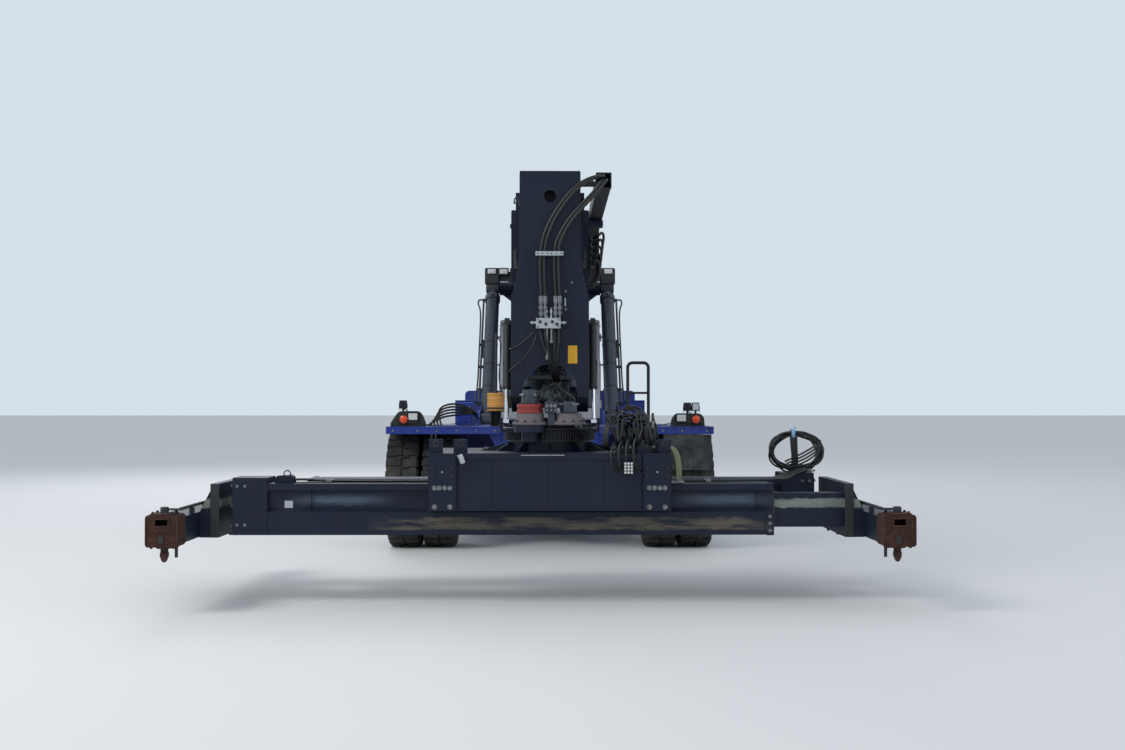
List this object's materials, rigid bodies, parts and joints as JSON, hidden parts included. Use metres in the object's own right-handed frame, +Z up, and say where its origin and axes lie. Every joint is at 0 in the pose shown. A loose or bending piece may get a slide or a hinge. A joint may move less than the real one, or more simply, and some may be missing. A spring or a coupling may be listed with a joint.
{
  "type": "reach stacker",
  "caption": "Light container reach stacker with a telescopic boom, a hanging slewing spreader on twistlocks, dual drive wheels and steered rear wheels.",
  "frame": {"origin": "on the ground under the middle of the machine, with its spreader at rest", "axes": "+Y from the spreader towards the counterweight, +X across, +Z up"},
  "size_m": [6.113, 12.5004, 3.7],
  "materials": {
    "blue_paint": "satin",
    "navy_paint": "satin",
    "dark_paint": "satin",
    "yellow_paint": "satin",
    "white_paint": "satin",
    "rim_paint": "satin",
    "tyre": "matte",
    "rubber": "matte",
    "glass": "gloss",
    "chrome": "polished",
    "aluminium": "satin",
    "cast_iron": "matte",
    "plastic": "matte",
    "fabric": "matte"
  },
  "bodies": {
    "chassis": {"chassis_frame": "blue_paint", "front_deck": "blue_paint", "mud_flap": "rubber", "lamp_housings": "dark_paint", "canister": "yellow_paint", "counterweight": "blue_paint", "engine_cover": "blue_paint", "engine_block": "cast_iron", "side_tanks": "blue_paint", "access_steps": "dark_paint", "handrail": "dark_paint", "cab_frame": "white_paint", "cab_glass": "glass", "operator_seat": "plastic", "seat_cushions": "fabric", "cab_controls": "plastic", "drive_axle": "blue_paint", "steer_axle": "blue_paint"},
    "cab_door": {"cab_door": "white_paint", "cab_door_glass": "glass"},
    "boom": {"outer_boom": "navy_paint", "boom_lamps": "dark_paint", "boom_pipes": "dark_paint"},
    "boom_section": {"inner_boom": "navy_paint", "boom_head": "navy_paint", "hose_guide": "dark_paint", "boom_hoses": "rubber", "valve_block": "aluminium"},
    "damper_barrels": {"damper_barrels": "dark_paint"},
    "damper_rods": {"damper_rods": "chrome"},
    "rotator": {"rotator_yoke": "navy_paint", "slew_motor": "cast_iron"},
    "carrier": {"carrier": "navy_paint", "slew_ring": "cast_iron", "carrier_valves": "cast_iron", "carrier_lamps": "dark_paint"},
    "spreader": {"spreader_frame": "navy_paint", "hose_coil": "rubber"},
    "beam_left": {"beam_left": "navy_paint"},
    "beam_right": {"beam_right": "navy_paint"},
    "drive_wheels_left": {"drive_hub_left": "rim_paint", "drive_tyres_left": "tyre"},
    "steer_wheel_left": {"steer_hub_left": "rim_paint", "steer_tyre_left": "tyre"},
    "knuckle_left": {"knuckle_left": "blue_paint"},
    "lift_barrel_left": {"lift_barrel_left": "blue_paint"},
    "lift_rod_left": {"lift_rod_left": "chrome"},
    "twistlock_front_left": {"twistlock_front_left": "cast_iron"},
    "twistlock_rear_left": {"twistlock_rear_left": "cast_iron"},
    "drive_wheels_right": {"drive_hub_right": "rim_paint", "drive_tyres_right": "tyre"},
    "steer_wheel_right": {"steer_hub_right": "rim_paint", "steer_tyre_right": "tyre"},
    "knuckle_right": {"knuckle_right": "blue_paint"},
    "lift_barrel_right": {"lift_barrel_right": "blue_paint"},
    "lift_rod_right": {"lift_rod_right": "chrome"},
    "twistlock_front_right": {"twistlock_front_right": "cast_iron"},
    "twistlock_rear_right": {"twistlock_rear_right": "cast_iron"}
  },
  "joints": [
    {"name": "boom_lift", "type": "hinge", "parent": "chassis", "child": "boom", "pos_m": [0.145, 3.95025, 2.8], "axis": [-1, 0, 0], "range_deg": [0, 50]},
    {"name": "boom_extend", "type": "slide", "parent": "boom", "child": "boom_section", "axis": [0, 1, 0], "range_m": [-5.4, 0.85]},
    {"name": "rotator_level", "type": "hinge", "parent": "boom_section", "child": "rotator", "pos_m": [0.145, -5.02975, 1.74], "axis": [1, 0, 0], "range_deg": [0, 50]},
    {"name": "damper_swing", "type": "hinge", "parent": "boom_section", "child": "damper_barrels", "pos_m": [0.145, -5.04975, 2.4], "axis": [1, 0, 0], "range_deg": [0, 15.62]},
    {"name": "damper_stroke", "type": "slide", "parent": "damper_barrels", "child": "damper_rods", "axis": [0, -0.2334, -0.9724], "range_m": [0, 0.0897]},
    {"name": "spreader_slew", "type": "hinge", "parent": "rotator", "child": "carrier", "pos_m": [0.145, -5.02975, 1.44], "axis": [0, 0, 1], "range_deg": [-105, 195]},
    {"name": "sideshift", "type": "slide", "parent": "carrier", "child": "spreader", "axis": [1, 0, 0], "range_m": [-0.655, 0.945]},
    {"name": "telescope_right", "type": "slide", "parent": "spreader", "child": "beam_right", "axis": [1, 0, 0], "range_m": [0, 3.066]},
    {"name": "telescope_left", "type": "slide", "parent": "spreader", "child": "beam_left", "axis": [-1, 0, 0], "range_m": [0, 3.066]},
    {"name": "twistlock_front_left_turn", "type": "hinge", "parent": "beam_left", "child": "twistlock_front_left", "pos_m": [-2.9265, -6.15925, 0.545], "axis": [0, 0, 1], "range_deg": [0, 90]},
    {"name": "twistlock_rear_left_turn", "type": "hinge", "parent": "beam_left", "child": "twistlock_rear_left", "pos_m": [-2.9265, -3.90025, 0.545], "axis": [0, 0, 1], "range_deg": [0, 90]},
    {"name": "lift_swing_left", "type": "hinge", "parent": "chassis", "child": "lift_barrel_left", "pos_m": [-0.655, 0.48025, 1.45], "axis": [1, 0, 0], "range_deg": [0, 2]},
    {"name": "lift_stroke_left", "type": "slide", "parent": "lift_barrel_left", "child": "lift_rod_left", "axis": [0, 0.647, 0.7624], "range_m": [0, 1.6533]},
    {"name": "drive_roll_left", "type": "hinge", "parent": "chassis", "child": "drive_wheels_left", "pos_m": [-1.345, -0.84975, 0.69], "axis": [1, 0, 0], "continuous": true},
    {"name": "steer_left", "type": "hinge", "parent": "chassis", "child": "knuckle_left", "pos_m": [-0.815, 4.55025, 0.69], "axis": [0, 0, 1], "range_deg": [-38, 38]},
    {"name": "steer_roll_left", "type": "hinge", "parent": "knuckle_left", "child": "steer_wheel_left", "pos_m": [-1.155, 4.55025, 0.69], "axis": [1, 0, 0], "continuous": true},
    {"name": "twistlock_front_right_turn", "type": "hinge", "parent": "beam_right", "child": "twistlock_front_right", "pos_m": [2.9265, -6.15925, 0.545], "axis": [0, 0, 1], "range_deg": [0, 90]},
    {"name": "twistlock_rear_right_turn", "type": "hinge", "parent": "beam_right", "child": "twistlock_rear_right", "pos_m": [2.9265, -3.90025, 0.545], "axis": [0, 0, 1], "range_deg": [0, 90]},
    {"name": "lift_swing_right", "type": "hinge", "parent": "chassis", "child": "lift_barrel_right", "pos_m": [0.945, 0.48025, 1.45], "axis": [1, 0, 0], "range_deg": [0, 2]},
    {"name": "lift_stroke_right", "type": "slide", "parent": "lift_barrel_right", "child": "lift_rod_right", "axis": [0, 0.647, 0.7624], "range_m": [0, 1.6533]},
    {"name": "drive_roll_right", "type": "hinge", "parent": "chassis", "child": "drive_wheels_right", "pos_m": [1.635, -0.84975, 0.69], "axis": [1, 0, 0], "continuous": true},
    {"name": "steer_right", "type": "hinge", "parent": "chassis", "child": "knuckle_right", "pos_m": [1.105, 4.55025, 0.69], "axis": [0, 0, 1], "range_deg": [-38, 38]},
    {"name": "steer_roll_right", "type": "hinge", "parent": "knuckle_right", "child": "steer_wheel_right", "pos_m": [1.445, 4.55025, 0.69], "axis": [1, 0, 0], "continuous": true},
    {"name": "cab_door_swing", "type": "hinge", "parent": "chassis", "child": "cab_door", "pos_m": [0.859, 2.16625, 2], "axis": [0, 0, -1], "range_deg": [0, 80]}
  ],
  "couplings": [
    {"joint": "twistlock_rear_left_turn", "follows": "twistlock_front_left_turn", "ratio": 1},
    {"joint": "lift_swing_left", "follows": "boom_lift", "ratio": 0.04},
    {"joint": "lift_stroke_left", "follows": "boom_lift", "m_per_rad": 1.8934},
    {"joint": "twistlock_front_right_turn", "follows": "twistlock_front_left_turn", "ratio": 1},
    {"joint": "twistlock_rear_right_turn", "follows": "twistlock_front_left_turn", "ratio": 1},
    {"joint": "lift_swing_right", "follows": "boom_lift", "ratio": 0.04},
    {"joint": "lift_stroke_right", "follows": "boom_lift", "m_per_rad": 1.8934},
    {"joint": "steer_right", "follows": "steer_left", "ratio": 1},
    {"joint": "telescope_left", "follows": "telescope_right", "ratio": 1},
    {"joint": "rotator_level", "follows": "boom_lift", "ratio": 1},
    {"joint": "damper_swing", "follows": "boom_lift", "ratio": 0.3125},
    {"joint": "damper_stroke", "follows": "boom_lift", "m_per_rad": 0.1017}
  ]
}
